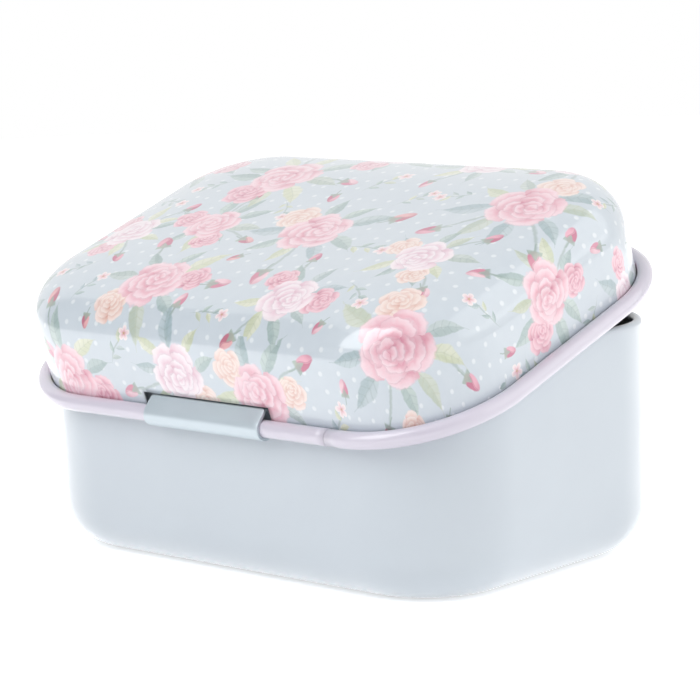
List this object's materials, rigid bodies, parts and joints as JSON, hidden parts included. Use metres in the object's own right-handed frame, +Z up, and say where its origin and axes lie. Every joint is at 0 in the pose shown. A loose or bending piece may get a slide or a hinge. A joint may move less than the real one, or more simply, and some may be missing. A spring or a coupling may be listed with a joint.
{
  "type": "sewing tin",
  "caption": "Small rounded-corner sheet-metal box with a pillow-topped lid and a rolled rim, turning on a strap hinge along one long side.",
  "frame": {"origin": "centre of the tub's flat underside", "axes": "+Z up out of the underside, +X along the hinge, +Y towards the hinge side, so the lid opens on the -Y side"},
  "size_m": [0.1646, 0.1113, 0.1021],
  "materials": {
    "tub_lacquer": "pale blue-grey gloss lacquer on tinplate",
    "strap_lacquer": "blue-grey gloss lacquer on a thicker tinplate strip",
    "lid_print": "gloss varnish over a printed floral pattern on a pale blue-grey ground",
    "rim_lacquer": "pale lilac gloss lacquer on a rolled tinplate rim"
  },
  "bodies": {
    "tub": {"tub_shell": "tub_lacquer", "hinge_strap": "strap_lacquer"},
    "lid": {"lid_shell": "lid_print", "rim_bead": "rim_lacquer"}
  },
  "joints": [
    {"name": "lid_hinge", "type": "hinge", "parent": "tub", "child": "lid", "pos_m": [0, 0.05495, 0.043], "axis": [-1, 0, 0], "range_deg": [-19, 81]}
  ]
}
